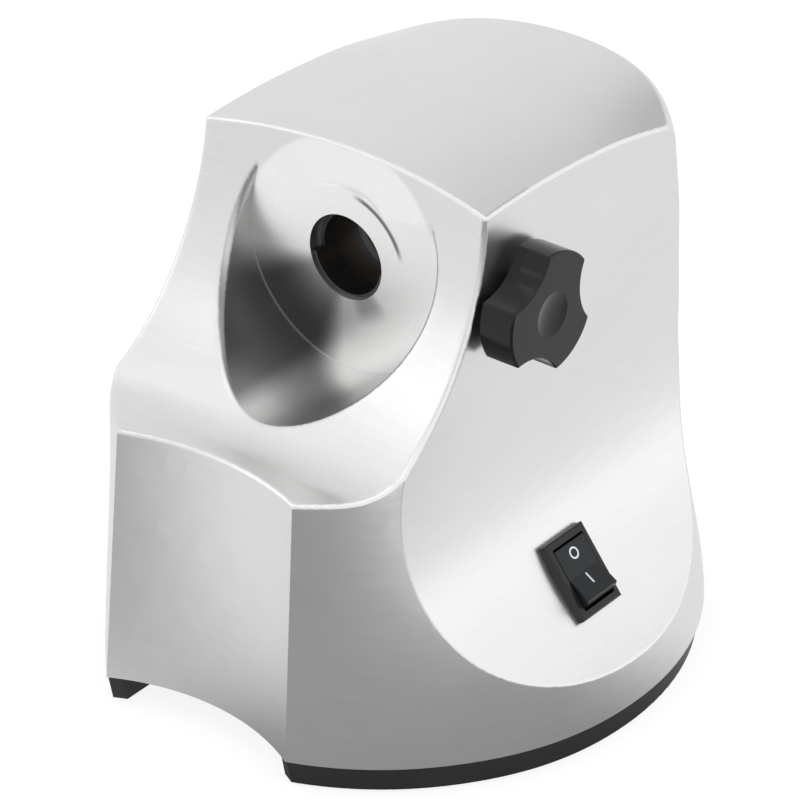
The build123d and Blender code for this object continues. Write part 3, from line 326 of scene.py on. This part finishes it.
def enamelled_copper():
    """Wound enamelled wire: close turns of wire under a warm coat, with a painted highlight on each turn's crown
    and painted shade in the grooves between turns.
    """
    made, start = new_material("enamelled_copper_wire")
    place, (x, _, z), _ = places(start)
    wire = start.maths("FRACT", (z + 0.35 * x) * (1 / WIRE_PITCH))
    crown = 1 - (2 * wire - 1) ** 2
    stain = place.grain(scale=120, detail=2.0)
    surface(start, {
        # the colour follows each turn's round profile: painted highlight on the crowns, painted shade in the
        # grooves
        "Base Color": (0.7 * crown + 0.3 * stain).between((0.20, 0.07, 0.03), (0.72, 0.31, 0.13)),
        "Metallic": 0.85,
        "Roughness": 0.30 + 0.15 * stain,
        "Coat Weight": 0.5,
        "Normal": bumped(start, crown, 0.15 * MM, 0.7),
    })
    return made


finishes = {
    "housing_metal": satin_steel(),
    "tray_plastic": moulded(
        "tray_black_plastic", (0.012, 0.012, 0.013), (0.028, 0.028, 0.030),
        0.50, 0.5 * MM, 0.03 * MM,
    ),
    "foot_rubber": moulded(
        "foot_grey_rubber", (0.022, 0.022, 0.022), (0.045, 0.045, 0.045),
        0.80, 0.4 * MM, 0.04 * MM,
    ),
    "steel": machined(
        "zinc_plated_steel", (0.42, 0.42, 0.43), (0.66, 0.66, 0.67),
        0.30, "Y", MOTOR,
    ),
    "cream_plastic": moulded(
        "cream_moulding", (0.66, 0.62, 0.52), (0.78, 0.74, 0.64),
        0.42, 0.5 * MM, 0.02 * MM,
    ),
    "switch_plastic": moulded(
        "switch_satin_black", (0.008, 0.009, 0.010), (0.016, 0.018, 0.020),
        0.30, 0.35 * MM, 0.02 * MM,
    ),
    "rocker_plastic": moulded(
        "rocker_satin_black", (0.006, 0.007, 0.008), (0.012, 0.014, 0.016),
        0.26, 0.35 * MM, 0.015 * MM,
    ),
    "brass": machined("terminal_brass", (0.50, 0.36, 0.14), (0.80, 0.62, 0.30), 0.28, "Y", PIVOT),
    "sleeve_metal": machined(
        "blackened_sleeve", (0.055, 0.055, 0.058), (0.13, 0.13, 0.135),
        0.34, "Y", OUTLET,
    ),
    "die_cast": cast(
        "die_cast_alloy", (0.48, 0.48, 0.49), (0.68, 0.68, 0.69),
        0.46, 0.9 * MM, 0.05 * MM,
    ),
    "bronze": cast(
        "sintered_bronze", (0.36, 0.24, 0.12), (0.62, 0.46, 0.26),
        0.42, 0.4 * MM, 0.03 * MM,
    ),
    "gear_nylon": moulded(
        "gear_natural_nylon", (0.72, 0.69, 0.60), (0.86, 0.84, 0.78),
        0.38, 0.6 * MM, 0.02 * MM,
    ),
    "gear_steel": cast(
        "sintered_gear_steel", (0.26, 0.26, 0.27), (0.50, 0.50, 0.51),
        0.38, 0.5 * MM, 0.03 * MM,
    ),
    "laminations": laminated_steel(),
    "copper": enamelled_copper(),
    "carbon": cast(
        "brush_carbon", (0.020, 0.020, 0.021), (0.060, 0.060, 0.062),
        0.62, 0.3 * MM, 0.03 * MM, 0.0,
    ),
    "fan_plastic": moulded(
        "fan_black_plastic", (0.035, 0.036, 0.040), (0.070, 0.072, 0.078),
        0.44, 0.6 * MM, 0.03 * MM,
    ),
    "knob_plastic": moulded(
        "knob_gloss_black", (0.003, 0.0035, 0.004), (0.006, 0.007, 0.008),
        0.12, 0.6 * MM, 0.006 * MM,
    ),
}
for subpart in frame["record"]["subparts"]:
    node = nodes[subpart["node"]]
    node.data.materials.clear()
    node.data.materials.append(finishes[subpart["material_slot"]])

# ===================================================================================================
# Housing skin: the CAD housing with a crown that falls less to the back and shifted back corners
# ===================================================================================================
CROWN_R = 370.0 * MM            # the CAD crown is a sphere of this radius
CROWN_Y = 2.0 * MM
CROWN_TOP = 205.5 * MM
CROWN_EASE = 1.05               # the back of the crown is lifted by this much of y squared, per metre
CROWN_HALF = 70.0 * MM          # half width over which it is lifted
CROWN_FROM = 12.0 * MM          # how far back the lift starts
CROWN_FOUND = 0.3 * MM          # a face this near the sphere is the crown's
CROWN_SNAP = 0.15 * MM          # a corner this near it is put on it
CORNER_HALF = 64.0 * MM         # half width between the two flanks' top edges
CORNER_IN = 6.5 * MM            # how far a back corner moves forward at its top
WAIST_OUT = 5.0 * MM            # and back at its waist
SKIN_CUTS = 3
SKIN_WELD = 0.001 * MM


def smooth(low, high, value):
    """0 below low, 1 above high, smooth between them."""
    share = min(max((value - low) / (high - low), 0.0), 1.0)
    return share * share * (3 - 2 * share)


def crown(x, y):
    """Height of the CAD crown over a point."""
    return CROWN_TOP - CROWN_R + (CROWN_R**2 - x * x - (y - CROWN_Y) ** 2) ** 0.5


def back_shift(height):
    """How far the corners of the back move at a height: forward at the top, back at the waist."""
    top = smooth(140 * MM, 184 * MM, height)
    waist = smooth(62 * MM, 100 * MM, height) * (1 - smooth(115 * MM, 150 * MM, height))
    return WAIST_OUT * waist - CORNER_IN * top


def housing_skin():
    """A welded copy of the housing's mesh, with its crown and back corners moved."""
    skin = nodes["housing"].copy()
    skin.data = skin.data.copy()
    for key in list(skin.keys()):
        del skin[key]
    skin.name = "housing_skin"
    skin.parent = None
    bpy.context.collection.objects.link(skin)
    bpy.ops.object.select_all(action="DESELECT")
    skin.select_set(True)
    bpy.context.view_layer.objects.active = skin
    bpy.ops.mesh.customdata_custom_splitnormals_clear()
    bpy.ops.object.mode_set(mode="EDIT")
    bpy.ops.mesh.select_all(action="SELECT")
    bpy.ops.mesh.remove_doubles(threshold=SKIN_WELD)
    bpy.ops.mesh.select_all(action="DESELECT")
    bpy.ops.object.mode_set(mode="OBJECT")
    for face in skin.data.polygons:
        x, y, z = face.center
        face.select = face.normal.z > 0.9 and abs(z - crown(x, y)) < CROWN_FOUND
    bpy.ops.object.mode_set(mode="EDIT")
    bpy.ops.mesh.subdivide(number_cuts=SKIN_CUTS)
    bpy.ops.object.mode_set(mode="OBJECT")
    for vertex in skin.data.vertices:
        x, y, z = vertex.co
        if y > 0 and abs(z - crown(x, y)) < CROWN_SNAP:
            z = crown(x, y)
        side = min(abs(x) / CORNER_HALF, 1.0) ** 4
        moved = y + side * smooth(40 * MM, 90 * MM, y) * back_shift(z)
        lift = CROWN_EASE * max(moved - CROWN_FROM, 0) ** 2 * max(1 - (x / CROWN_HALF) ** 6, 0)
        vertex.co = (x, moved, z + lift * smooth(150 * MM, 185 * MM, z))
    bpy.ops.object.shade_smooth_by_angle(angle=radians(28))
    weighted = skin.modifiers.new("even_faces", "WEIGHTED_NORMAL")
    weighted.mode = "FACE_AREA"
    weighted.weight = 80
    weighted.keep_sharp = True
    bpy.ops.object.modifier_apply(modifier="even_faces")
    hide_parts("housing")
    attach(skin, "base")


housing_skin()

# ===================================================================================================
# Marks on the rocker: a ring on its upper half and a bar on its lower half
# ===================================================================================================
RING_R = 1.95 * MM
RING_LINE = 0.36 * MM           # half of the ring's line width
RING_UP = 7.5 * MM              # from the rocker's middle, up the slope
BAR_DOWN = 3.2 * MM             # down the slope
BAR_LONG = 4.6 * MM
BAR_WIDE = 0.75 * MM
BAR_EDGE = 0.04 * MM
MARK_T = 0.12 * MM
ROCKER_TOP = 4.1 * MM           # from the pivot to the upper half's flat
ROCKER_TILT = radians(22)       # of the lower half


def outward_area(face):
    """Area of a face that looks out of the flank, else 0."""
    return face.area if face.normal.x > 0.5 and face.normal.z > 0.3 else 0


widest = max(nodes["switch_body"].data.polygons, key=outward_area)
outward = Vector((widest.normal.x, 0, widest.normal.z)).normalized()
up_slope = Vector((-outward.z, 0, outward.x))


def printed_white():
    """The pale print of the two marks."""
    made, start = new_material("printed_white")
    place, _, _ = places(start)
    fine = place.grain(scale=2500, detail=2.0)
    surface(start, {
        "Base Color": fine.between((0.62, 0.66, 0.70), (0.78, 0.81, 0.84)),
        "Roughness": 0.45 + 0.1 * fine,
    })
    return made


def place_mark(mark, along, lean):
    """Puts a flat mark on the rocker: along is up the slope, lean tips the face."""
    turn = Matrix((up_slope, Vector((0, 1, 0)), outward)).transposed()
    slope = turn @ Matrix.Rotation(lean, 3, "Y")
    face_point = PIVOT + outward * ROCKER_TOP
    slide = Matrix.Translation((along, 0, 0))
    mark.matrix_world = Matrix.Translation(face_point) @ slope.to_4x4() @ slide
    bpy.ops.object.select_all(action="DESELECT")
    mark.select_set(True)
    bpy.context.view_layer.objects.active = mark
    bpy.ops.object.transform_apply(location=True, rotation=True, scale=True)
    mark.data.materials.append(white_print)
    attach(mark, "rocker")


white_print = printed_white()

RING_OUTER = RING_R + RING_LINE
bpy.ops.mesh.primitive_cylinder_add(
    vertices=48, radius=RING_OUTER, depth=MARK_T, end_fill_type="NOTHING"
)
off_mark = bpy.context.object
off_mark.name = "off_mark"
bpy.ops.object.mode_set(mode="EDIT")
bpy.ops.mesh.select_all(action="SELECT")
bpy.ops.mesh.duplicate()
ring_scale = (RING_R - RING_LINE) / RING_OUTER
bpy.ops.transform.resize(value=(ring_scale, ring_scale, 1))
bpy.ops.mesh.flip_normals()
bpy.ops.mesh.select_all(action="DESELECT")
bpy.ops.mesh.select_non_manifold()
bpy.ops.mesh.bridge_edge_loops()
bpy.ops.mesh.select_all(action="SELECT")
bpy.ops.mesh.normals_make_consistent(inside=False)
bpy.ops.object.mode_set(mode="OBJECT")
place_mark(off_mark, RING_UP, 0)

bpy.ops.mesh.primitive_cube_add(size=1)
on_mark = bpy.context.object
on_mark.name = "on_mark"
on_mark.scale = (BAR_LONG, BAR_WIDE, MARK_T)
bpy.ops.object.transform_apply(location=False, rotation=False, scale=True)
bpy.ops.object.mode_set(mode="EDIT")
bpy.ops.mesh.select_all(action="SELECT")
bpy.ops.mesh.bevel(offset=BAR_EDGE, segments=2)
bpy.ops.object.mode_set(mode="OBJECT")
place_mark(on_mark, -BAR_DOWN, ROCKER_TILT)

# ===================================================================================================
# Floor, light and camera
# ===================================================================================================
FLOOR_WIDE = 6.0
DARK_SIDE = Vector((0.70, -0.71))       # where the floor is darkest in reflections
FLOOR_CLEARANCE = 0.2 * MM
SEEN_WHITE = 1.07               # the floor's level for the camera, under its share of shadow
ROOM = 0.95                     # the world's level for everything but the camera


def floor_paper():
    """Pale paper: white where the camera sees it, with the shadow kept. In reflections only, it
    shades off towards one side."""
    made, start = new_material("floor_paper")
    camera, glossy = start.node("ShaderNodeLightPath", (), (), ("Is Camera Ray", "Is Glossy Ray"))
    x, y, _ = start.node("ShaderNodeTexCoord", (), (), "Object").split()
    distance = (x * x + y * y + 0.0001) ** 0.5
    heading = (x * DARK_SIDE.x + y * DARK_SIDE.y) / distance
    shade = 0.98 - 0.74 * heading.step(0.22, 0.84)
    level = SEEN_WHITE * camera + (1 - camera) * shade
    tint = start.node("ShaderNodeCombineColor", (), {0: level, 1: level, 2: level})
    paper = start.node("ShaderNodeBsdfDiffuse", (), {"Color": (0.92, 0.92, 0.92, 1)})
    white = start.node("ShaderNodeEmission", (), {"Color": tint, "Strength": 1.0})
    share = camera * 0.82 + glossy * 0.85
    both = start.node("ShaderNodeMixShader", (), {"Fac": share, 1: paper, 2: white})
    start.node("ShaderNodeOutputMaterial", (), {"Surface": both})
    return made


bpy.ops.mesh.primitive_plane_add(size=FLOOR_WIDE, location=(0, 0, -FLOOR_CLEARANCE))
floor = bpy.context.object
floor.name = "floor"
floor.data.materials.append(floor_paper())


def studio_world():
    """White round the object for the camera. For the rest a pale room, darker high up behind and
    brighter low on the right."""
    world = bpy.data.worlds.new("studio")
    bpy.context.scene.world = world
    world.use_nodes = True
    world.node_tree.nodes.clear()
    start = Wire(world.node_tree)
    camera = start.node("ShaderNodeLightPath", (), (), "Is Camera Ray")
    right, back, high = start.node("ShaderNodeTexCoord", (), (), "Generated").split()
    behind = back.step(-0.1, 0.3) * high.step(0.10, 0.32) * right.band((-0.52, -0.15), (0.05, 0.28))
    glow = right.step(0.22, 0.50) * high.step(-0.05, 0.15)
    room = ROOM + 0.24 * glow - 0.40 * behind
    level = room + camera * (1 - room)
    colour = start.node("ShaderNodeCombineColor", (), {0: level, 1: level, 2: level})
    light = start.node("ShaderNodeBackground", (), {"Color": colour, "Strength": 1.0})
    start.node("ShaderNodeOutputWorld", (), {"Surface": light})


studio_world()


def softbox(name, place, aim, size, power):
    """A rectangular lamp at a place, turned to a point."""
    bpy.ops.object.light_add(type="AREA", location=place)
    lamp = bpy.context.object
    lamp.name = name
    lamp.data.shape = "RECTANGLE"
    lamp.data.size, lamp.data.size_y = size
    lamp.data.energy = power
    lamp.rotation_euler = (Vector(aim) - Vector(place)).to_track_quat("-Z", "Y").to_euler()


MIDDLE = (0, 0, 0.11)
softbox("left_box", (-1.1, -0.6, 0.75), MIDDLE, (1.0, 0.9), 1.6)
softbox("right_box", (1.2, 0.9, 0.22), MIDDLE, (1.2, 0.3), 0.3)
softbox("top_box", (-0.1, -0.2, 1.5), MIDDLE, (1.2, 1.0), 2.0)

CAMERA_AZIMUTH = radians(39.767)
CAMERA_ELEVATION = radians(30.765)
CAMERA_ROLL = radians(-1.117)
CAMERA_DISTANCE = 1.5601
CAMERA_AIM = Vector((-0.0207, 0.02907, 0.07012))
SENSOR = 36.0
LENS = 185.25

backward = Vector((
    sin(CAMERA_AZIMUTH) * cos(CAMERA_ELEVATION),
    -cos(CAMERA_AZIMUTH) * cos(CAMERA_ELEVATION),
    sin(CAMERA_ELEVATION),
))
level_right = Vector((cos(CAMERA_AZIMUTH), sin(CAMERA_AZIMUTH), 0))
level_up = backward.cross(level_right)
camera_right = level_right * cos(CAMERA_ROLL) + level_up * sin(CAMERA_ROLL)
camera_up = level_up * cos(CAMERA_ROLL) - level_right * sin(CAMERA_ROLL)
bpy.ops.object.camera_add()
camera = bpy.context.object
camera.data.sensor_width = SENSOR
camera.data.lens = LENS
facing = Matrix((camera_right, camera_up, backward)).transposed().to_4x4()
camera.matrix_world = Matrix.Translation(CAMERA_AIM + backward * CAMERA_DISTANCE) @ facing
bpy.context.scene.camera = camera
bpy.context.scene.view_settings.view_transform = "Standard"
